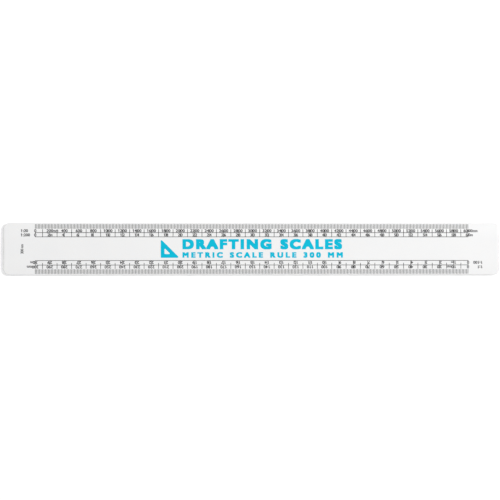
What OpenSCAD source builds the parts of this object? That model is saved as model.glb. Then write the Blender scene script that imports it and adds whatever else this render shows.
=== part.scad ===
// Flat-oval scale ruler: a moulded white blank with printed scales along both edges of both faces.
// Millimetres. X runs along the rule, Y across it and Z up from the flat land it rests on.
// Each print is its own film of ink, which lies on the blank and follows its camber.

/* [Blank] */
// Overall length, end to end
overall_length = 344.2; // [340:0.1:380]
// Overall width, from one scale edge to the other
overall_width = 36; // [36:0.1:42]
// Thickness of the flat land along the middle
centre_thickness = 3.6; // [3.6:0.1:4.4]
// Thickness that the cambered flanks fall to at the two scale edges
edge_thickness = 1.7; // [1.5:0.1:1.7]
// Width of the flat land, which both faces have
land_width = 14; // [13.8:0.1:14]
// Radius of the four corners, seen from above
corner_radius = 4; // [3:0.5:8]
// Radius of the side wall's slight bulge, all the way round
wall_radius = 4; // [3:0.1:5]

/* [Scales] */
// Distance between ticks on the decimal scales
decimal_pitch = 1; // [1, 2]
// Distance between ticks on the survey scales, where one tick is one metre at 1:1250
survey_pitch = 0.8; // [0.8, 1.6]
// Length of a tick
tick_length = 3.2; // [2.6:0.1:3.2]
// Width of every printed line
line_width = 0.36; // [0.15:0.01:0.36]
// Height of the figures
figure_height = 1.9; // [1.5:0.1:1.9]
// Distance from one digit to the next
figure_advance = 1.5; // [1:0.1:1.6]

/* [Print] */
// Gap from each scale edge to the ticks
edge_gap = 0.8; // [0.5:0.1:0.8]
// Thickness of a film of ink
ink_film = 0.02; // [0.01:0.005:0.02]

/* [Centre print] */
// Size of the emblem, a drawing set square
emblem_size = 13; // [9:0.1:13.2]
// Left edge of the emblem, measured from the middle of the rule
emblem_left = -63.5; // [-90:0.1:-60]
// Gap between the emblem and the lettering
emblem_gap = 2; // [2:0.1:4]
// Width of the two lines of lettering
lettering_width = 111.9; // [80:0.1:130]
// How far the centre print sits above the middle of the rule
centre_rise = 0.4; // [0:0.1:0.4]
// Height of the upper line of lettering
title_height = 7.2; // [5:0.1:7.5]
// Height of the lower line of lettering
subtitle_height = 3.9; // [3:0.1:4.2]

/* [Hidden] */
$fn = 96;

// Every scale is as long as the full-size one, so it can't change.
scale_length = 300;

half_length = overall_length / 2;
half_width = overall_width / 2;
half_land = land_width / 2;
mid_height = centre_thickness / 2;

// Each flank is one arc, tangent to the land, that has fallen by flank_drop at the scale edge.
flank_span = half_width - half_land;
flank_drop = (centre_thickness - edge_thickness) / 2;
flank_radius = (flank_span ^ 2 + flank_drop ^ 2) / (2 * flank_drop);
flank_axis = mid_height - flank_radius;
flank_fn = 720;

// The rim is a bulged wall and a shoulder: two tangent arcs that meet at wall_angle, and the shoulder ends
// level with the land.
wall_angle = 15;
wall_top = wall_radius * sin(wall_angle);
shoulder_radius = (mid_height - wall_top) / (1 - sin(wall_angle));
wall_steps = 3;
shoulder_steps = 10;

// Reaches right through the rule, from its middle to well clear of a face.
clear = 10;

// Every scale starts at zero_x, and its ticks start at start_y.
zero_x = -scale_length / 2;
start_y = half_width - edge_gap;

// Layout of the print: the figures stand foot_gap off the ruling below them, the characters of a figure
// are character_gap apart and stay mark_gap further off the mark that splits them. A legend starts
// legend_lead before the scale's zero, and is set a little closer than the figures are.
foot_gap = 0.4;
character_gap = 0.3;
mark_gap = 0.15;
unit_advance = 1.2 * figure_advance;
legend_lead = 10.1;
legend_advance = 1.4;
colon_advance = 0.6 * legend_advance;

// Points of a circular arc from angle a0 to angle a1.
function arc(centre, r, a0, a1, steps) =
    [for (i = [0 : steps])
        let (a = a0 + (a1 - a0) * i / steps)
        centre + r * [cos(a), sin(a)]];

function mirror_x(points) = [for (i = [len(points) - 1 : -1 : 0]) [-points[i].x, points[i].y]];
function mirror_y(points) = [for (i = [len(points) - 1 : -1 : 0]) [points[i].x, -points[i].y]];

// The upper half of the rim's profile, from the middle of the wall up to the land.
function rim_quarter(reach) =
    let (wall = [reach - wall_radius, 0],
         normal = [cos(wall_angle), sin(wall_angle)],
         shoulder = wall + (wall_radius - shoulder_radius) * normal)
    concat(arc(wall, wall_radius, 0, wall_angle, wall_steps),
           [for (point = arc(shoulder, shoulder_radius, wall_angle, 90, shoulder_steps))
               if (point.y > wall_top + 0.001) point]);

// The rim's whole profile, from its lowest point to its highest.
function rim_half(reach) =
    concat(mirror_y([for (point = rim_quarter(reach)) if (point.y > 0) point]), rim_quarter(reach));

// Puts a profile drawn as [across, up] square to X, and extrudes it along X.
module along_x(length) {
    rotate([90, 0, 90])
        linear_extrude(length, center = true)
            children();
}

// Puts a profile drawn as [along, up] square to Y, and extrudes it along Y.
module along_y(length) {
    rotate([90, 0, 0])
        linear_extrude(length, center = true)
            children();
}

// One cambered flank, from the land out past the scale edge.
module flank() {
    intersection() {
        translate([half_land, flank_axis])
            circle(flank_radius, $fn = flank_fn);
        translate([half_land, -flank_axis])
            circle(flank_radius, $fn = flank_fn);
        translate([half_land, -mid_height])
            square([flank_span + 1, centre_thickness]);
    }
}

// The flat-oval section, as wide as the rule and a little over.
module section() {
    square([land_width, centre_thickness], center = true);
    flank();
    mirror([1, 0])
        flank();
}

// A bar with the rim's profile along both of its long sides.
module rim_bar(reach) {
    polygon(concat(rim_half(reach), mirror_x(rim_half(reach))));
}

// A plate with the rule's outline and its rounded rim.
module rimmed_plate() {
    along_x(overall_length - 2 * corner_radius)
        rim_bar(half_width);
    along_y(overall_width - 2 * corner_radius)
        rim_bar(half_length);
    for (quarter = [0 : 3])
        let (sx = quarter == 0 || quarter == 3 ? 1 : -1, sy = quarter < 2 ? 1 : -1)
            translate([sx * (half_length - corner_radius), sy * (half_width - corner_radius), 0])
                rotate(90 * quarter)
                    rotate_extrude(angle = 90)
                        polygon(concat([[0, -mid_height]], rim_half(corner_radius), [[0, mid_height]]));
}

module rule_body() {
    color("whitesmoke")
        translate([0, 0, mid_height])
            intersection() {
                along_x(overall_length + 1)
                    section();
                rimmed_plate();
            }
}

// Keeps the part of a drawing that lies in the film of ink on the +Y flank of the top face.
module in_flank_film() {
    intersection() {
        translate([0, 0, mid_height])
            along_x(overall_length)
                intersection() {
                    translate([half_land, flank_axis])
                        difference() {
                            circle(flank_radius + ink_film, $fn = flank_fn);
                            circle(flank_radius, $fn = flank_fn);
                        }
                    translate([half_land, 0])
                        square([flank_span, clear]);
                }
        children();
    }
}

// The four edges. Each one turns its print into place and sets how that print is laid out:
// $pitch, $step            distance between ticks, and between numbered marks
// $first, $second          distances from the start of the ticks to the two rulings
// $half_reach              how far a half-way mark reaches from the start of the ticks
// $values, $units, $names  for the outer and inner row: value of one step, unit, and name of the scale
// $centred                 whether the outer row's figures are centred on their marks
module front_upper() {
    $pitch = decimal_pitch;
    $step = 10;
    $first = 5.9;
    $second = 8.8;
    $half_reach = $second;
    $values = [200, 2];
    $units = ["mm", "m"];
    $names = ["1:20", "1:200"];
    $centred = true;
    children();
}

module front_lower() {
    $pitch = decimal_pitch;
    $step = 10;
    $first = 6.1;
    $second = 9.2;
    $half_reach = 7.6;
    $values = [10, 1];
    $units = ["mm", "m"];
    $names = ["1:1", "1:100"];
    $centred = true;
    rotate(180)
        children();
}

// The back's rulings stop where the flank has risen clear of the land, so the rule rests on its land
// and not on its ink.
module back_upper() {
    $pitch = decimal_pitch;
    $step = 20;
    $first = 5.7;
    $second = 8.4;
    $half_reach = $second;
    $values = [100, 1];
    $units = ["mm", "m"];
    $names = ["1:5", "1:50"];
    $centred = false;
    translate([0, 0, centre_thickness])
        rotate([180, 0, 0])
            children();
}

module back_lower() {
    $pitch = survey_pitch;
    $step = 8;
    $first = 5.7;
    $second = 8.4;
    $half_reach = 7;
    $values = [10, 20];
    $units = ["m", "m"];
    $names = ["1:1250", "1:2500"];
    $centred = false;
    translate([0, 0, centre_thickness])
        rotate([0, 180, 0])
            children();
}

// The number of numbered marks after zero, and the figure at one of them.
function last_mark() = floor(scale_length / $step + 0.001);
function figure(row, k) = str(k * $values[row]);

// How many characters of a figure stand before its mark. A whole number leaves room for the mark's line.
function lead(row, k) =
    let (digits = len(figure(row, k)))
    $centred && row == 0 ? digits / 2 : max(1, floor(digits / 2));

function line_fits(row, k) = lead(row, k) == floor(lead(row, k));

// How far the figure's start is moved off the mark: back before it, and on after it.
function off_mark(row, k, i) = line_fits(row, k) ? (i < lead(row, k) ? -mark_gap : mark_gap) : 0;

// The first figure carries the unit, and so does the last one if it ends the scale.
function has_unit(k) = k == 1 || k * $step == scale_length;

function foot(row) = (row == 0 ? $first : $second) - foot_gap;

// A printed line across the rule, between two distances from the start of the ticks.
module cross_line(x, from, to) {
    translate([zero_x + x - line_width / 2, start_y - to, 0])
        cube([line_width, to - from, clear]);
}

// A printed line along the rule.
module long_line(distance) {
    translate([zero_x - line_width / 2, start_y - distance - line_width / 2, 0])
        cube([scale_length + line_width, line_width, clear]);
}

// All the ticks of one edge.
module ticks() {
    color("dimgray")
        in_flank_film()
            for (i = [0 : floor(scale_length / $pitch + 0.001)])
                cross_line(i * $pitch, 0, tick_length);
}

// The rulings under the two rows of figures, and the marks that run from the ticks into the rows. The
// marks at zero and at the end close the rows, so a scale that ends between two numbered marks has one
// more there. A numbered mark leaves out the outer row where its figure is centred on it, and the mark at
// zero breaks where the zeros stand.
module rulings() {
    color("dimgray")
        in_flank_film()
            difference() {
                union() {
                    long_line($first);
                    long_line($second);
                    cross_line(0, tick_length + line_width, $second);
                    for (k = [1 : last_mark()])
                        cross_line(k * $step, line_fits(0, k) ? tick_length + line_width : $first, $second);
                    if (last_mark() * $step < scale_length)
                        cross_line(scale_length, tick_length + line_width, $second);
                    for (k = [1 : floor(scale_length / $step + 0.5)])
                        cross_line((k - 0.5) * $step, tick_length + line_width, $half_reach);
                }
                zeros();
            }
}

// One character of a figure, as the plain block that it fills. The block's left edge is at x.
module character(x, foot, width) {
    translate([zero_x + x + character_gap / 2, start_y - foot, 0])
        cube([width - character_gap, figure_height, clear]);
}

// The two zeros, centred on the line that closes the rows.
module zeros() {
    for (row = [0 : 1])
        character(-figure_advance / 2, foot(row), figure_advance);
}

// The figure at one numbered mark.
module marked_figure(row, k) {
    digits = len(figure(row, k));
    start = k * $step - lead(row, k) * figure_advance;
    for (i = [0 : digits - 1])
        character(start + i * figure_advance + off_mark(row, k, i), foot(row), figure_advance);
    if (has_unit(k))
        character(start + digits * figure_advance + off_mark(row, k, digits), foot(row),
                  len($units[row]) * unit_advance);
}

// Both rows of figures. The half-way marks that cross a row keep their own place in the ink.
module figures() {
    color("dimgray")
        in_flank_film()
            union() {
                zeros();
                difference() {
                    for (row = [0 : 1], k = [1 : last_mark()])
                        marked_figure(row, k);
                    for (k = [1 : floor(scale_length / $step + 0.5)])
                        cross_line((k - 0.5) * $step, 0, $half_reach);
                }
            }
}

// The names of the edge's two scales, one beside each row, and the colon is a gap between blocks.
module legend() {
    color("dimgray")
        in_flank_film()
            for (row = [0 : 1]) {
                character(-legend_lead, foot(row), legend_advance);
                for (i = [2 : len($names[row]) - 1])
                    character(-legend_lead + colon_advance + (i - 1) * legend_advance, foot(row),
                              legend_advance);
            }
}

module front_upper_ticks() front_upper() ticks();
module front_upper_rulings() front_upper() rulings();
module front_upper_figures() front_upper() figures();
module front_upper_legend() front_upper() legend();
module front_lower_ticks() front_lower() ticks();
module front_lower_rulings() front_lower() rulings();
module front_lower_figures() front_lower() figures();
module front_lower_legend() front_lower() legend();
module back_upper_ticks() back_upper() ticks();
module back_upper_rulings() back_upper() rulings();
module back_upper_figures() back_upper() figures();
module back_upper_legend() back_upper() legend();
module back_lower_ticks() back_lower() ticks();
module back_lower_rulings() back_lower() rulings();
module back_lower_figures() back_lower() figures();
module back_lower_legend() back_lower() legend();

// A print on the flat land of the front face, drawn in plan.
module land_film(rise = 0) {
    translate([0, rise, centre_thickness])
        linear_extrude(ink_film)
            children();
}

// One line of lettering in equal cells, each letter as the plain block that it fills.
module lettering(words, foot, height) {
    cell = lettering_width / len(words);
    for (i = [0 : len(words) - 1])
        if (words[i] != " ")
            translate([emblem_left + emblem_size + emblem_gap + i * cell, foot])
                square([cell - height / 6, height]);
}

// A set square: a right-angled triangle with a smaller one cut out of it.
module centre_emblem() {
    rim = emblem_size * 0.2;
    inner = emblem_size - rim * (2 + sqrt(2));
    color("deepskyblue")
        land_film(centre_rise)
            translate([emblem_left, -emblem_size / 2])
                difference() {
                    polygon([[0, 0], [emblem_size, 0], [0, emblem_size]]);
                    translate([rim, rim])
                        polygon([[0, 0], [inner, 0], [0, inner]]);
                }
}

module centre_title() {
    color("deepskyblue")
        land_film(centre_rise)
            lettering("DRAFTING SCALES", emblem_size / 2 - title_height, title_height);
}

module centre_subtitle() {
    color("deepskyblue")
        land_film(centre_rise)
            lettering("METRIC SCALE RULE 300 MM", -emblem_size / 2, subtitle_height);
}

// The length of the scales, printed small across the rule near its left end: a number and its unit.
module length_mark() {
    mark_height = 2;
    number_length = 3.6;
    unit_length = 2.6;
    gap = 0.5;
    color("dimgray")
        land_film()
            translate([-scale_length / 2 - legend_lead, 0])
                translate([0, -(number_length + gap + unit_length) / 2]) {
                    square([mark_height, number_length]);
                    translate([0, number_length + gap])
                        square([mark_height, unit_length]);
                }
}

rule_body();
front_upper_ticks();
front_upper_rulings();
front_upper_figures();
front_upper_legend();
front_lower_ticks();
front_lower_rulings();
front_lower_figures();
front_lower_legend();
back_upper_ticks();
back_upper_rulings();
back_upper_figures();
back_upper_legend();
back_lower_ticks();
back_lower_rulings();
back_lower_figures();
back_lower_legend();
centre_emblem();
centre_title();
centre_subtitle();
length_mark();
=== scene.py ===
"""Looks of the flat-oval scale ruler: a cambered white blank, black scales on both faces and a cyan title.

Everything is in metres, in the CAD frame: X along the rule, Y across it, Z up from the land it rests on.
The blank's section is worked out from the CAD nodes, and every print is a thin film that follows it.
"""

import math

import bpy
import numpy as np
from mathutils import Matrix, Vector
from mathutils.geometry import delaunay_2d_cdt


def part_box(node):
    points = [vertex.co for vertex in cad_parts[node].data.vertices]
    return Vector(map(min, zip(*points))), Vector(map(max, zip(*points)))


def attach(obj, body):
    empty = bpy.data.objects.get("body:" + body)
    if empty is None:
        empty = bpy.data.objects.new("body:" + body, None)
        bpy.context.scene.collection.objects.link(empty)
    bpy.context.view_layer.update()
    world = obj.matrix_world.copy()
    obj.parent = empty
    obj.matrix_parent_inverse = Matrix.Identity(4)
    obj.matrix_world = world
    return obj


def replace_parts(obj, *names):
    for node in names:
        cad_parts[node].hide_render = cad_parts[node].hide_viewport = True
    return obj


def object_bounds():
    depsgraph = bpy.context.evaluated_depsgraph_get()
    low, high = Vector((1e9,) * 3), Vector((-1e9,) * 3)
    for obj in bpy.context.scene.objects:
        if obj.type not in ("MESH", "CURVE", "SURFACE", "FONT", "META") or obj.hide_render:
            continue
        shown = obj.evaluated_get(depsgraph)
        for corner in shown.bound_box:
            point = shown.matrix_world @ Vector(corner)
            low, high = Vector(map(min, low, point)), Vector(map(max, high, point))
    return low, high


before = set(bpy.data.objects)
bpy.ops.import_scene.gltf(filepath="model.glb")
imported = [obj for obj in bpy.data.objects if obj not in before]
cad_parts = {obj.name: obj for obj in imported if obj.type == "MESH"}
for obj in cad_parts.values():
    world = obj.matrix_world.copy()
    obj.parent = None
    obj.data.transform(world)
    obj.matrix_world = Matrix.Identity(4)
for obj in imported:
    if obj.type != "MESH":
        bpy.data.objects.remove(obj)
CAD_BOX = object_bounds()

MM = 0.001

# ---------------------------------------------------------------------------------------------------
# The blank's shape, read from the CAD nodes
# ---------------------------------------------------------------------------------------------------
BLANK_LOW, BLANK_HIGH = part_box("rule_body")
HALF_LENGTH = BLANK_HIGH.x
HALF_WIDTH = BLANK_HIGH.y
MID = (BLANK_LOW.z + BLANK_HIGH.z) / 2
HALF_THICK = BLANK_HIGH.z - MID
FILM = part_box("centre_title")[1].z - BLANK_HIGH.z

# Lengths that differ by less than this are the same length.
NEAR = 0.0001 * MM

# The land's vertices reach out to its edges, and those of the long sides to where the corners begin.
BLANK = np.array([v.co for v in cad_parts["rule_body"].data.vertices])
ON_LAND = BLANK[:, 2] > BLANK_HIGH.z - NEAR
ON_SIDE = BLANK[:, 1] > HALF_WIDTH - NEAR
HALF_LAND = float(np.abs(BLANK[ON_LAND, 1]).max())
CORNER = HALF_LENGTH - float(np.abs(BLANK[ON_SIDE, 0]).max())

# The flank is one arc, tangent to the land. The outer ends of the ticks lie on it.
TICKS_LOW, TICKS_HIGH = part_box("front_upper_ticks")
TICK_RUN = TICKS_HIGH.y - HALF_LAND
TICK_FALL = BLANK_HIGH.z - TICKS_LOW.z
FLANK_RADIUS = (TICK_RUN ** 2 + TICK_FALL ** 2) / (2 * TICK_FALL)

# The rim is a bulged wall and a shoulder, two tangent arcs that end level with the land.
WALL_RADIUS = 4 * MM
WALL_ANGLE = math.radians(15)
WALL_STEPS = 4
SHOULDER_STEPS = 14
SHOULDER_RADIUS = (HALF_THICK - WALL_RADIUS * math.sin(WALL_ANGLE)) / (1 - math.sin(WALL_ANGLE))


def flank_height(y):
    """Half thickness of the flat-oval section, at a distance across the rule."""
    run = np.maximum(np.abs(y) - HALF_LAND, 0)
    return HALF_THICK - FLANK_RADIUS + np.sqrt(FLANK_RADIUS ** 2 - run ** 2)


def rim_profile():
    """The rim at full thickness, from the land out to the middle of the wall, as (inset, half height)."""
    wall_inset = WALL_RADIUS * (1 - math.cos(WALL_ANGLE))
    axis = wall_inset + SHOULDER_RADIUS * math.cos(WALL_ANGLE)
    shoulder = [(axis - SHOULDER_RADIUS * math.sin(a), HALF_THICK - SHOULDER_RADIUS * (1 - math.cos(a)))
                for a in np.linspace(0, math.pi / 2 - WALL_ANGLE, SHOULDER_STEPS + 1)]
    wall = [(WALL_RADIUS * (1 - math.cos(a)), WALL_RADIUS * math.sin(a))
            for a in np.linspace(WALL_ANGLE, 0, WALL_STEPS + 1)[1:]]
    return shoulder + wall


# ---------------------------------------------------------------------------------------------------
# Materials
# ---------------------------------------------------------------------------------------------------
class Nodes:
    """A small helper that adds nodes to one material and joins them."""

    def __init__(self, name):
        self.material = bpy.data.materials.new(name)
        self.material.use_nodes = True
        self.tree = self.material.node_tree
        self.shader = self.tree.nodes["Principled BSDF"]
        self.place = self.tree.nodes.new("ShaderNodeTexCoord").outputs["Object"]

    def add(self, kind, inputs=None, **settings):
        node = self.tree.nodes.new(kind)
        for key, value in settings.items():
            setattr(node, key, value)
        for key, value in (inputs or {}).items():
            self.put(node.inputs[key], value)
        return node

    def put(self, socket, value):
        if isinstance(value, bpy.types.NodeSocket):
            self.tree.links.new(value, socket)
        else:
            socket.default_value = value

    def noise(self, scale, stretch=(1, 1, 1), detail=3.0):
        """Noise whose size is set in turns per metre, stretched along the axes."""
        mapped = self.add("ShaderNodeMapping", {"Vector": self.place, "Scale": stretch})
        made = self.add("ShaderNodeTexNoise",
                        {"Vector": mapped.outputs["Vector"], "Scale": scale, "Detail": detail})
        return made.outputs["Fac"]

    def ramp(self, fac, low, high, colour_low, colour_high):
        made = self.add("ShaderNodeValToRGB", {"Fac": fac})
        first, last = made.color_ramp.elements
        first.position, first.color = low, (*colour_low, 1)
        last.position, last.color = high, (*colour_high, 1)
        return made.outputs["Color"]

    def span(self, fac, low, high):
        """Maps 0..1 onto low..high."""
        made = self.add("ShaderNodeMapRange", {"Value": fac, "To Min": low, "To Max": high})
        return made.outputs["Result"]

    def mix(self, fac, a, b):
        """Mixes two colours. The sockets go by number, because a Mix node repeats its sockets' names."""
        made = self.add("ShaderNodeMix", data_type="RGBA")
        for socket, value in ((made.inputs[0], fac), (made.inputs[6], a), (made.inputs[7], b)):
            self.put(socket, value)
        return made.outputs[2]

    def bump(self, height, strength, distance, normal=None):
        inputs = {"Height": height, "Strength": strength, "Distance": distance}
        if normal is not None:
            inputs["Normal"] = normal
        return self.add("ShaderNodeBump", inputs).outputs["Normal"]


def white_plastic():
    """Glossy moulded polystyrene: faint clouding, a few specks of dust, a fine moulded skin and hairline
    scratches along the rule from handling."""
    cool_white, warm_white = (0.842, 0.842, 0.844), (0.860, 0.859, 0.857)
    dust = (0.82, 0.815, 0.805, 1)
    n = Nodes("white_plastic")
    cloud = n.ramp(n.noise(38, detail=4.0), 0.3, 0.7, cool_white, warm_white)
    speck = n.ramp(n.noise(2600, detail=1.0), 0.70, 0.80, (0, 0, 0), (1, 1, 1))
    n.put(n.shader.inputs["Base Color"], n.mix(speck, cloud, dust))
    hairs = n.noise(900, stretch=(0.03, 1, 1), detail=6.0)
    n.put(n.shader.inputs["Roughness"], n.span(hairs, 0.18, 0.3))
    skin = n.bump(n.noise(700, detail=2.0), 0.25, 0.004 * MM)
    n.put(n.shader.inputs["Normal"], n.bump(hairs, 0.2, 0.003 * MM, skin))
    n.shader.inputs["IOR"].default_value = 1.55
    n.shader.inputs["Specular IOR Level"].default_value = 0.4
    n.shader.inputs["Subsurface Weight"].default_value = 0.08
    n.shader.inputs["Subsurface Radius"].default_value = (1.2 * MM, 1.1 * MM, 1.0 * MM)
    n.shader.inputs["Subsurface Scale"].default_value = 1.0
    return n.material


def screen_ink(name, thin, full, roughness, sheen):
    """Screen-printed ink with a fine mesh grain, whose colour runs from thin to full over the print."""
    n = Nodes(name)
    grain = n.noise(5200, detail=2.0)
    patch = n.noise(160, detail=3.0)
    body = n.ramp(patch, 0.35, 0.65, thin, full)
    n.put(n.shader.inputs["Base Color"], n.mix(n.span(grain, 0.0, 0.35), body, (*thin, 1)))
    n.put(n.shader.inputs["Roughness"], n.span(grain, roughness - 0.08, roughness + 0.08))
    n.put(n.shader.inputs["Normal"], n.bump(grain, 0.3, 0.004 * MM))
    n.shader.inputs["Specular IOR Level"].default_value = sheen
    return n.material


PLASTIC = white_plastic()
BLACK = screen_ink("black_ink", thin=(0.025, 0.025, 0.027), full=(0.008, 0.008, 0.009),
                   roughness=0.6, sheen=0.2)
CYAN = screen_ink("cyan_ink", thin=(0.003, 0.5, 0.69), full=(0.001, 0.46, 0.65),
                  roughness=0.5, sheen=0.06)


def pale_floor():
    """A plain white table top with a faint paper grain."""
    dull, bright = (0.955, 0.955, 0.955), (0.975, 0.975, 0.975)
    n = Nodes("pale_floor")
    n.put(n.shader.inputs["Base Color"], n.ramp(n.noise(300, detail=4.0), 0.3, 0.7, dull, bright))
    n.shader.inputs["Roughness"].default_value = 0.9
    n.shader.inputs["Specular IOR Level"].default_value = 0.1
    n.shader.inputs["Emission Color"].default_value = (1, 1, 1, 1)
    n.shader.inputs["Emission Strength"].default_value = 0.12
    return n.material


# ---------------------------------------------------------------------------------------------------
# Meshes
# ---------------------------------------------------------------------------------------------------
def add_piece(name, points, faces, material, smooth):
    """A mesh that rides on the rule."""
    mesh = bpy.data.meshes.new(name)
    mesh.from_pydata([tuple(p) for p in points], [], faces)
    mesh.validate()
    mesh.polygons.foreach_set("use_smooth", [smooth] * len(mesh.polygons))
    mesh.materials.append(material)
    piece = bpy.data.objects.new(name, mesh)
    bpy.context.scene.collection.objects.link(piece)
    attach(piece, "root")
    return piece


COLUMNS = 64                # of the grid on each face, along the rule
ROWS = 56
CORNER_STEPS = 16
FLAT_RINGS = 5              # between the grid and the rim


def outline_walk(ys):
    """Once round the edge of the grid: (column, row, outward x, outward y, thinness) of each spoke of the
    rim. Thinness is how much of its full thickness the rule has where the spoke meets the outline."""
    walk = []

    def spoke(column, row, degrees):
        out_x, out_y = math.cos(math.radians(degrees)), math.sin(math.radians(degrees))
        thinness = float(flank_height(ys[row] + CORNER * out_y)) / HALF_THICK
        walk.append((column, row, out_x, out_y, thinness))

    sides = [[(i, 0) for i in range(COLUMNS + 1)],
             [(COLUMNS, i) for i in range(ROWS + 1)],
             [(COLUMNS - i, ROWS) for i in range(COLUMNS + 1)],
             [(0, ROWS - i) for i in range(ROWS + 1)]]
    for turn, side in enumerate(sides):
        outwards = 90 * turn - 90
        for spot in side:
            spoke(*spot, outwards)
        for k in range(1, CORNER_STEPS):
            spoke(*side[-1], outwards + 90 * k / CORNER_STEPS)
    return walk


def rule_blank():
    """The whole blank as one closed skin: a grid over each face, and rings of points that run out from it
    over the rim. The rim shrinks with the thickness, so the thin scale edges have a finer one."""
    xs = np.linspace(-(HALF_LENGTH - CORNER), HALF_LENGTH - CORNER, COLUMNS + 1)
    ys = np.linspace(-(HALF_WIDTH - CORNER), HALF_WIDTH - CORNER, ROWS + 1)
    walk = outline_walk(ys)
    profile = rim_profile()
    points, faces = [], []

    def point(x, y, share, side):
        points.append((x, y, MID + side * share * float(flank_height(y))))
        return len(points) - 1

    def ring(flat, inset, share, side):
        """Points round one face. flat is how much of the way from the grid to the rim is done, and inset
        and share are how far in the ring lies and how high it stands, where the rule is full thickness."""
        made = []
        for column, row, out_x, out_y, thinness in walk:
            reach = (CORNER - inset * thinness) * flat
            made.append(point(xs[column] + reach * out_x, ys[row] + reach * out_y, share, side))
        return made

    equator = ring(1, 0, 0, 1)
    for side in (1, -1):
        grid = [[point(x, y, 1, side) for y in ys] for x in xs]
        rings = [[grid[column][row] for column, row, *_ in walk]]
        rings += [ring(flat, profile[0][0], 1, side) for flat in np.linspace(0, 1, FLAT_RINGS + 1)[1:]]
        rings += [ring(1, inset, height / HALF_THICK, side) for inset, height in profile[1:-1]]
        rings.append(equator)
        made = [(grid[c][r], grid[c + 1][r], grid[c + 1][r + 1], grid[c][r + 1])
                for c in range(COLUMNS) for r in range(ROWS)]
        for inner, outer in zip(rings, rings[1:]):
            for k in range(len(walk)):
                following = (k + 1) % len(walk)
                loop = (inner[k], outer[k], outer[following], inner[following])
                made.append(tuple(dict.fromkeys(loop)))
        # All spokes of a corner start from one point, so a loop there can be a triangle or a bare line.
        made = [loop for loop in made if len(loop) > 2]
        faces += made if side == 1 else [loop[::-1] for loop in made]
    return add_piece("rule_blank", points, faces, PLASTIC, True)


def distinct(values):
    """The values in order, without any that is as good as equal to the one before it."""
    values = np.sort(values)
    return values[np.diff(values, prepend=-math.inf) > NEAR]


class Print:
    """Flat shapes laid on one face of the rule, and turned into a thin closed film that follows it.

    A shape is drawn in its own plane: u in reading direction from the start point, v up the page. run and
    up are the directions, 1 or -1, of u along X and of v along Y: both alike put the print on the front. A
    print that is turned reads across the rule, with u along Y and v against X."""

    SINK = 0.01 * MM            # how far the film reaches down into the blank

    def __init__(self, start_x, start_y, run, up, lift=0.0, turned=False):
        self.start = (start_x, start_y)
        self.run, self.up = run, up
        self.face = run * up
        self.lift = lift
        self.turned = turned
        self.points, self.faces = [], []

    def shape(self, uv, loops):
        """Adds points [u, v] and the faces over them, which run anticlockwise on the page."""
        uv = np.asarray(uv, float)
        if self.turned:
            uv = np.column_stack([-uv[:, 1], uv[:, 0]])
        x = self.start[0] + self.run * uv[:, 0]
        y = self.start[1] + self.up * uv[:, 1]
        height = flank_height(y)
        first, count = len(self.points), len(uv)
        for level in (FILM + self.lift, -self.SINK):
            self.points += list(zip(x, y, MID + self.face * (height + level)))
        edges = dict.fromkeys(edge for loop in loops for edge in zip(loop, loop[1:] + loop[:1]))
        self.faces += [tuple(first + i for i in loop) for loop in loops]
        self.faces += [tuple(first + count + i for i in reversed(loop)) for loop in loops]
        self.faces += [(first + a, first + count + a, first + count + b, first + b)
                       for a, b in edges if (b, a) not in edges]

    def cells(self, us, vs, inside):
        """Adds the cells of a grid for which inside(u, v) holds, as one film with no walls within it."""
        us, vs = distinct(us), distinct(vs)
        index, uv, loops = {}, [], []

        def corner(i, j):
            if (i, j) not in index:
                index[(i, j)] = len(uv)
                uv.append((us[i], vs[j]))
            return index[(i, j)]

        for i in range(len(us) - 1):
            for j in range(len(vs) - 1):
                if inside((us[i] + us[i + 1]) / 2, (vs[j] + vs[j + 1]) / 2):
                    loops.append([corner(i, j), corner(i + 1, j), corner(i + 1, j + 1), corner(i, j + 1)])
        self.shape(uv, loops)

    def figure(self, words, u, v, digit, height, split=0, gap=0.0):
        """Adds a figure from u onwards, standing on v, with room for a digit in each step. Its first
        characters, up to split, stand back by a gap, and the rest stand on by as much."""
        for i, char in enumerate(words):
            uv, loops, width = glyph(char, FIGURE_WEIGHT)
            advance = digit * UNIT_ADVANCE.get(char, 1)
            moved = u + (-gap if i < split else gap)
            if loops:
                self.shape(uv * (advance / width, height) + (moved, v), loops)
            u += advance

    def stand_for(self, node, material, slot):
        """Makes the film, in the place of a CAD node."""
        made = add_piece(node + "_print", self.points, self.faces, material, False)
        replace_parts(made, node)


# ---------------------------------------------------------------------------------------------------
# Characters
# ---------------------------------------------------------------------------------------------------
# In the built-in font's own units. Its 1 is drawn here instead, as a plain stem with a flag.
DIGIT_HEIGHT = 0.691
DIGIT_WIDTH = 0.5
SPACE_WIDTH = 0.3
ONE = [(0.20, 0), (0.31, 0), (0.31, 0.69), (0.235, 0.69), (0.10, 0.585), (0.10, 0.49), (0.20, 0.555)]
CURVE_STEPS = 5
SAME_POINT = 1e-6
_glyphs = {}                # the characters made so far


def glyph(char, weight):
    """One character as (points, faces, advance), at a size that makes a plain digit 1 tall. weight is how
    far its strokes are pushed out, sideways and up and down, in the font's units."""
    key = (char, weight)
    if key not in _glyphs:
        if char == " ":
            points, loops, advance = np.zeros((0, 2)), [], SPACE_WIDTH
        elif char == "1":
            points, loops, advance = np.array(ONE), [list(range(len(ONE)))], DIGIT_WIDTH
        else:
            points, loops = font_mesh(char)
            # Two in a row are wider than one by the character's advance.
            advance = font_mesh(char + char)[0][:, 0].max() - points[:, 0].max()
        if len(points):
            points, loops = bolder(points, loops, *weight)
        _glyphs[key] = points / DIGIT_HEIGHT, loops, advance / DIGIT_HEIGHT
    return _glyphs[key]


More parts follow.
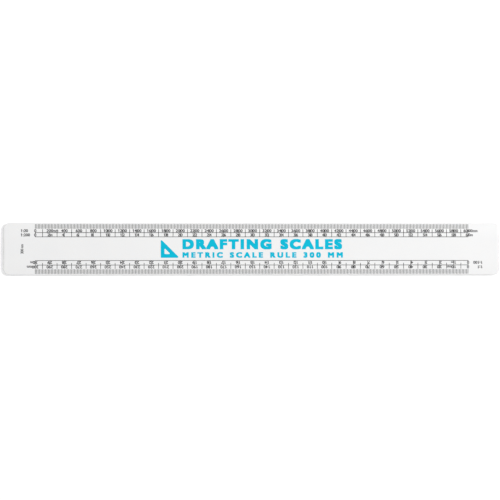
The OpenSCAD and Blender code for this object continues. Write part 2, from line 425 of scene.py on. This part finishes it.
def font_mesh(words):
    """The built-in font's letters as (points, faces)."""
    curve = bpy.data.curves.new("glyph", "FONT")
    curve.body = words
    curve.resolution_u = CURVE_STEPS
    holder = bpy.data.objects.new("glyph", curve)
    bpy.context.scene.collection.objects.link(holder)
    bpy.context.view_layer.update()
    mesh = bpy.data.meshes.new_from_object(holder.evaluated_get(bpy.context.evaluated_depsgraph_get()))
    points = np.array([v.co[:2] for v in mesh.vertices]).reshape(-1, 2)
    loops = [list(p.vertices) for p in mesh.polygons]
    bpy.data.objects.remove(holder)
    bpy.data.curves.remove(curve)
    bpy.data.meshes.remove(mesh)
    return points, loops


def rim_edges(loops):
    """The edges that only one face uses."""
    seen = {}
    for loop in loops:
        for a, b in zip(loop, loop[1:] + loop[:1]):
            key = (min(a, b), max(a, b))
            seen[key] = seen.get(key, 0) + 1
    return [key for key, uses in seen.items() if uses == 1]


def covers(spots, points, edges):
    """Which spots lie inside the outline that the edges make, by counting crossings to the right."""
    a, b = points[[e[0] for e in edges]], points[[e[1] for e in edges]]
    x, y = spots[:, :1], spots[:, 1:]
    spans = (a[:, 1] > y) != (b[:, 1] > y)
    rise = np.where(b[:, 1] == a[:, 1], 1, b[:, 1] - a[:, 1])
    crossing = a[:, 0] + (y - a[:, 1]) * (b[:, 0] - a[:, 0]) / rise
    return np.count_nonzero(spans & (crossing > x), axis=1) % 2 == 1


def triangles(points, lines, keeps):
    """Splits the plane along the lines into triangles, and returns the ones whose centres are kept."""
    found, _, faces, *_ = delaunay_2d_cdt([Vector(p) for p in points], lines, [], 0, SAME_POINT)
    found = np.array([p[:] for p in found])
    kept = keeps(np.array([found[list(face)].mean(0) for face in faces]))
    faces = [list(face) for face, keep in zip(faces, kept) if keep]
    used = sorted(set(i for face in faces for i in face))
    place = {old: new for new, old in enumerate(used)}
    return found[used], [[place[i] for i in face] for face in faces]


def bolder(points, loops, sideways, upwards):
    """A letter thickened by a small box that slides all the way round its outline, so that its corners
    stay sharp and its slanted strokes stay straight."""
    edges = rim_edges(loops)
    box = np.array((sideways, upwards))
    a, b = points[[e[0] for e in edges]], points[[e[1] for e in edges]]
    # Sliding from a to b, the box sweeps a six-sided shape: its corners ahead, behind and to both sides.
    ahead = np.where(b < a, -box, box)
    aside = ahead * (1, -1)
    swept = np.stack([a - ahead, a + aside, b + aside, b + ahead, b - aside, a - aside], axis=1)
    lines = [(6 * k + i, 6 * k + (i + 1) % 6) for k in range(len(edges)) for i in range(6)]

    def inside(spots):
        half = (b - a) / 2
        away = spots[:, None] - (a + b) / 2
        across = np.abs(half[:, 0] * away[..., 1] - half[:, 1] * away[..., 0])
        reach = np.abs(half[:, 0]) * upwards + np.abs(half[:, 1]) * sideways
        near = np.all(np.abs(away) < np.abs(half) + box, axis=2) & (across < reach)
        return near.any(axis=1) | covers(spots, points, edges)

    points, loops = triangles(swept.reshape(-1, 2), lines, inside)
    # The first triangles also follow lines inside the letter. The second ones follow its outline only.
    outline = rim_edges(loops)
    points, loops = triangles(points, outline, lambda spots: covers(spots, points, outline))
    return points, anticlockwise(points, loops)


def anticlockwise(points, loops):
    """The faces, each turned so that it runs anticlockwise."""
    turned = []
    for loop in loops:
        x, y = points[loop].T
        area = np.sum(x * np.roll(y, -1) - np.roll(x, -1) * y)
        turned.append(loop if area > 0 else loop[::-1])
    return turned


# ---------------------------------------------------------------------------------------------------
# The four printed edges
# ---------------------------------------------------------------------------------------------------
SCALE_LENGTH = 300 * MM
LINE = (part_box("front_upper_rulings")[1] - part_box("front_upper_rulings")[0]).x - SCALE_LENGTH
TICK = TICKS_HIGH.y - TICKS_LOW.y
TICK_ROWS = 5               # a film has a point in each row, so that it follows the camber
RULING_ROWS = 7
FIGURE_HEIGHT = 1.9 * MM
FIGURE_ADVANCE = 1.5 * MM
FIGURE_WEIGHT = (0.026, 0.02)       # as glyph has it
FIGURE_LIFT = 0.001 * MM    # above the marks that a figure crosses
LEGEND_ADVANCE = 1.4 * MM
LEGEND_LEAD = 10.1 * MM
MARK_GAP = 0.15 * MM        # kept clear on both sides of a mark between two characters
UNIT_ADVANCE = {"m": 1.2, ":": 0.6, " ": 0.4}      # the room of what isn't a digit, in digits

# run and up are the print's directions along X and Y. pitch is from tick to tick, and step from figure to
# figure. first and half are how far in the outer ruling and the ends of the half-step marks lie, from the
# ends of the ticks. All four are in mm. values, units and names are for the outer and inner row of figures.
# centred is whether the outer row's figures are centred on their marks, even if that puts a digit on one.
EDGES = {
    "front_upper": {"run": 1, "up": 1, "pitch": 1, "step": 10, "first": 5.9, "half": 8.8,
                    "values": (200, 2), "units": ("mm", "m"), "names": ("1:20", "1:200"), "centred": True},
    "front_lower": {"run": -1, "up": -1, "pitch": 1, "step": 10, "first": 6.1, "half": 7.6,
                    "values": (10, 1), "units": ("mm", "m"), "names": ("1:1", "1:100"), "centred": True},
    "back_upper": {"run": 1, "up": -1, "pitch": 1, "step": 20, "first": 5.7, "half": 8.4,
                   "values": (100, 1), "units": ("mm", "m"), "names": ("1:5", "1:50"), "centred": False},
    "back_lower": {"run": -1, "up": 1, "pitch": 0.8, "step": 8, "first": 5.7, "half": 7.0,
                   "values": (10, 20), "units": ("m", "m"), "names": ("1:1250", "1:2500"), "centred": False},
}


class Edge:
    """One printed edge, placed by its CAD nodes."""

    def __init__(self, name):
        self.name = name
        for key, value in EDGES[name].items():
            setattr(self, key, value)
        low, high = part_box(name + "_ticks")
        self.zero_x = low.x + LINE / 2 if self.run > 0 else high.x - LINE / 2
        self.start_y = high.y if self.up > 0 else low.y
        self.second = self.depth("rulings") - LINE / 2
        self.foot_gap = self.second - self.depth("figures")
        self.first, self.half = self.first * MM, self.half * MM
        self.pitch, self.step = self.pitch * MM, self.step * MM
        self.last = math.floor((SCALE_LENGTH + NEAR) / self.step)

    def depth(self, kind):
        """How far in from the ends of the ticks one of this edge's CAD nodes reaches."""
        low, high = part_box(f"{self.name}_{kind}")
        return self.start_y - low.y if self.up > 0 else high.y - self.start_y

    def page(self, lift=0.0):
        return Print(self.zero_x, self.start_y, self.run, self.up, lift)

    def figure(self, row, k):
        return str(k * self.values[row])

    def lead(self, row, k):
        """How many digits' room of a figure lies before its mark."""
        digits = len(self.figure(row, k))
        return digits / 2 if self.centred and row == 0 else max(1, digits // 2)

    def foot(self, row):
        """How high on the page a row of figures stands."""
        return -((self.first, self.second)[row] - self.foot_gap)

    def ticks(self):
        page = self.page()
        rows = np.linspace(-TICK, 0, TICK_ROWS + 1)
        for i in range(round(SCALE_LENGTH / self.pitch) + 1):
            centre = i * self.pitch
            page.cells([centre - LINE / 2, centre + LINE / 2], rows, lambda u, v: True)
        page.stand_for(self.name + "_ticks", BLACK, "black_ink")

    def marks(self):
        """Every line across the rows, as (place, where it starts, where it ends). A mark that would run
        through a digit of the outer row starts below it."""
        below_ticks = TICK + LINE
        found = [(0, below_ticks, self.second)]
        if self.last * self.step < SCALE_LENGTH - NEAR:
            found.append((SCALE_LENGTH, below_ticks, self.second))
        for k in range(1, self.last + 1):
            passes = self.lead(0, k) == math.floor(self.lead(0, k))
            found.append((k * self.step, below_ticks if passes else self.first, self.second))
            found.append(((k - 0.5) * self.step, below_ticks, self.half))
        return found

    def rulings(self):
        """The two long rulings and the marks between them, joined in one film."""
        page = self.page()
        marks = self.marks()
        half = LINE / 2
        us = [place + side * half for place, _, _ in marks for side in (-1, 1)]
        vs = [-(d + side * half) for d in (self.first, self.second) for side in (-1, 1)]
        vs += [-d for _, start, end in marks for d in (start, end)]
        vs += [self.foot(row) + d for row in (0, 1) for d in (0, FIGURE_HEIGHT)]
        vs += list(np.linspace(-self.second, -TICK - LINE, RULING_ROWS + 1))
        starts = np.array([m[0] for m in marks])

        def inside(u, v):
            if min(abs(-v - self.first), abs(-v - self.second)) < half:
                return True
            # The first line is broken where the noughts stand on it.
            if abs(u) < half and any(self.foot(row) < v < self.foot(row) + FIGURE_HEIGHT for row in (0, 1)):
                return False
            return any(marks[i][1] < -v < marks[i][2] for i in np.flatnonzero(abs(starts - u) < half))

        page.cells(us, vs, inside)
        page.stand_for(self.name + "_rulings", BLACK, "black_ink")

    def has_unit(self, k):
        """The first figure carries the unit, and so does the last one if it ends the scale."""
        return k == 1 or abs(k * self.step - SCALE_LENGTH) < NEAR

    def figures(self):
        page = self.page(FIGURE_LIFT)
        for row in (0, 1):
            page.figure("0", -FIGURE_ADVANCE / 2, self.foot(row), FIGURE_ADVANCE, FIGURE_HEIGHT)
            for k in range(1, self.last + 1):
                words = self.figure(row, k) + (self.units[row] if self.has_unit(k) else "")
                lead = self.lead(row, k)
                gap = MARK_GAP if lead == math.floor(lead) else 0
                start = k * self.step - lead * FIGURE_ADVANCE
                page.figure(words, start, self.foot(row), FIGURE_ADVANCE, FIGURE_HEIGHT, lead, gap)
        page.stand_for(self.name + "_figures", BLACK, "black_ink")

    def legend(self):
        page = self.page()
        for row in (0, 1):
            page.figure(self.names[row], -LEGEND_LEAD, self.foot(row), LEGEND_ADVANCE, FIGURE_HEIGHT)
        page.stand_for(self.name + "_legend", BLACK, "black_ink")


# ---------------------------------------------------------------------------------------------------
# The centre print
# ---------------------------------------------------------------------------------------------------
EMBLEM_BAR = 0.2            # of the set square's size
EMBLEM_OUTER_ROUNDING = 0.045
EMBLEM_INNER_ROUNDING = 0.03


def emblem():
    """A set square with softened corners."""
    low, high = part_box("centre_emblem")
    size = high.x - low.x
    page = Print(low.x, low.y, 1, 1)
    outer = rounded([(0, 0), (size, 0), (0, size)], EMBLEM_OUTER_ROUNDING * size)
    bar = EMBLEM_BAR * size
    far = size - bar * (1 + math.sqrt(2))
    inner = rounded([(bar, bar), (far, bar), (bar, far)], EMBLEM_INNER_ROUNDING * size)
    points = outer + inner
    count = len(outer)
    loops = [[i, (i + 1) % count, count + (i + 1) % count, count + i] for i in range(count)]
    page.shape(points, loops)
    page.stand_for("centre_emblem", CYAN, "cyan_ink")


def rounded(corners, radius, steps=8):
    """The outline of a triangle with its corners rounded, anticlockwise."""
    outline = []
    for i, corner in enumerate(corners):
        here = Vector(corner)
        back = (Vector(corners[i - 1]) - here).normalized()
        ahead = (Vector(corners[(i + 1) % len(corners)]) - here).normalized()
        half_angle = back.angle(ahead) / 2
        centre = here + (back + ahead).normalized() * radius / math.sin(half_angle)
        start = here + back * radius / math.tan(half_angle) - centre
        sweep = math.pi - 2 * half_angle
        base = math.atan2(start.y, start.x)
        outline += [(centre.x + radius * math.cos(base + sweep * k / steps),
                     centre.y + radius * math.sin(base + sweep * k / steps)) for k in range(steps + 1)]
    return outline


def lettering(node, words, weight, spacing):
    """One line of cyan capitals that fills its CAD node's box. spacing is the extra room between two
    letters, in plain digits' height."""
    low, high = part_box(node)
    height = high.y - low.y
    glyphs = [glyph(char, weight) for char in words]
    caps = max(uv[:, 1].max() for uv, _, _ in glyphs if len(uv))
    feet = min(uv[:, 1].min() for uv, _, _ in glyphs if len(uv))
    starts = np.cumsum([0] + [width + spacing for _, _, width in glyphs])
    left = glyphs[0][0][:, 0].min()
    right = starts[-2] + glyphs[-1][0][:, 0].max()
    tall = height / (caps - feet)
    wide = (high.x - low.x) / (right - left)
    page = Print(low.x, low.y, 1, 1)
    for (uv, loops, _), start in zip(glyphs, starts):
        if len(uv):
            page.shape((uv + (start - left, -feet)) * (wide, tall), loops)
    page.stand_for(node, CYAN, "cyan_ink")


LENGTH_MARK_FILL = 1 / 1.1        # of its node's box, across the reading direction
LENGTH_MARK_FOOT = 0.05


def length_mark():
    """The scales' length, reading up across the rule."""
    low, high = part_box("length_mark")
    words = "300 mm"
    digit = (high.y - low.y) / sum(UNIT_ADVANCE.get(char, 1) for char in words)
    size = high.x - low.x
    page = Print(high.x, low.y, 1, 1, turned=True)
    page.figure(words, 0, LENGTH_MARK_FOOT * size, digit, LENGTH_MARK_FILL * size)
    page.stand_for("length_mark", BLACK, "black_ink")


# ---------------------------------------------------------------------------------------------------
# Stage
# ---------------------------------------------------------------------------------------------------
FLOOR_GAP = 0.01 * MM
FLOOR_REACH = 6.0
KEY_PLACE = (0.95, 0.4, 1.5)
KEY_SIDE = 0.34
KEY_ENERGY = 13.6                   # in watts
SKY_LOW, SKY_HIGH = 0.2, 0.96       # the room's light at the horizon and straight above
WALL_SEEN = 0.85                    # the room's light as the camera sees it
LENS, SENSOR = 120, 36              # in mm
LOOK_LEFT = math.radians(1.75)      # how far the camera stands off from straight above
LOOK_FRONT = math.radians(0.9)
ROLL = math.radians(-0.04)
AIM = Vector((-1.74 * MM, -0.7 * MM, BLANK_HIGH.z))
SEEN_WIDTH = 1.0064 * 2 * HALF_LENGTH       # what the picture takes in where it aims
CLIP_START, CLIP_END = 0.1, 20


def floor():
    """A square table top, just below the land."""
    mesh = bpy.data.meshes.new("floor")
    corners = [(x * FLOOR_REACH, y * FLOOR_REACH, 0) for x, y in ((-1, -1), (1, -1), (1, 1), (-1, 1))]
    mesh.from_pydata(corners, [], [(0, 1, 2, 3)])
    mesh.materials.append(pale_floor())
    made = bpy.data.objects.new("floor", mesh)
    bpy.context.scene.collection.objects.link(made)
    made.location.z = CAD_BOX[0].z - FLOOR_GAP


def key_light():
    """A square softbox to the right and a little behind, aimed at the middle of the rule."""
    light = bpy.data.lights.new("key", "AREA")
    light.shape = "RECTANGLE"
    light.size = light.size_y = KEY_SIDE
    light.energy = KEY_ENERGY
    lamp = bpy.data.objects.new("key", light)
    lamp.location = KEY_PLACE
    lamp.rotation_mode = "QUATERNION"
    lamp.rotation_quaternion = (-Vector(KEY_PLACE)).to_track_quat("-Z", "Y")
    bpy.context.scene.collection.objects.link(lamp)


def room():
    """A white room that is dimmer towards the horizon, which draws the rule's rim. The camera itself sees
    an even pale wall."""
    world = bpy.data.worlds.new("room")
    bpy.context.scene.world = world
    world.use_nodes = True
    tree = world.node_tree
    direction = tree.nodes.new("ShaderNodeSeparateXYZ")
    tree.links.new(tree.nodes.new("ShaderNodeTexCoord").outputs["Generated"], direction.inputs[0])
    sky = tree.nodes.new("ShaderNodeMapRange")
    sky.inputs["To Min"].default_value, sky.inputs["To Max"].default_value = SKY_LOW, SKY_HIGH
    tree.links.new(direction.outputs["Z"], sky.inputs["Value"])
    seen = tree.nodes.new("ShaderNodeMix")
    seen.inputs["B"].default_value = WALL_SEEN
    tree.links.new(tree.nodes.new("ShaderNodeLightPath").outputs["Is Camera Ray"], seen.inputs["Factor"])
    tree.links.new(sky.outputs["Result"], seen.inputs["A"])
    tree.links.new(seen.outputs["Result"], tree.nodes["Background"].inputs["Strength"])
    tree.nodes["Background"].inputs["Color"].default_value = (1, 1, 1, 1)


def camera():
    """From above, a little to the left and the front, and far enough off for the sides to look straight."""
    data = bpy.data.cameras.new("camera")
    data.lens = LENS
    data.sensor_width = SENSOR
    distance = LENS / SENSOR * SEEN_WIDTH
    back = Vector((-math.tan(LOOK_LEFT), -math.tan(LOOK_FRONT), 1)).normalized()
    made = bpy.data.objects.new("camera", data)
    made.location = AIM + back * distance
    made.rotation_euler = (-math.atan2(back.y, back.z), math.asin(back.x), ROLL)
    data.clip_start, data.clip_end = CLIP_START, CLIP_END
    bpy.context.scene.collection.objects.link(made)
    bpy.context.scene.camera = made


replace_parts(rule_blank(), "rule_body")
for edge_name in EDGES:
    edge = Edge(edge_name)
    edge.ticks()
    edge.rulings()
    edge.figures()
    edge.legend()
emblem()
lettering("centre_title", "DRAFTING SCALES", weight=(0.073, 0.062), spacing=0.24)
lettering("centre_subtitle", "METRIC SCALE RULE 300 MM", weight=(0.072, 0.054), spacing=0.45)
length_mark()

floor()
room()
key_light()
camera()
bpy.context.scene.view_settings.view_transform = "Standard"
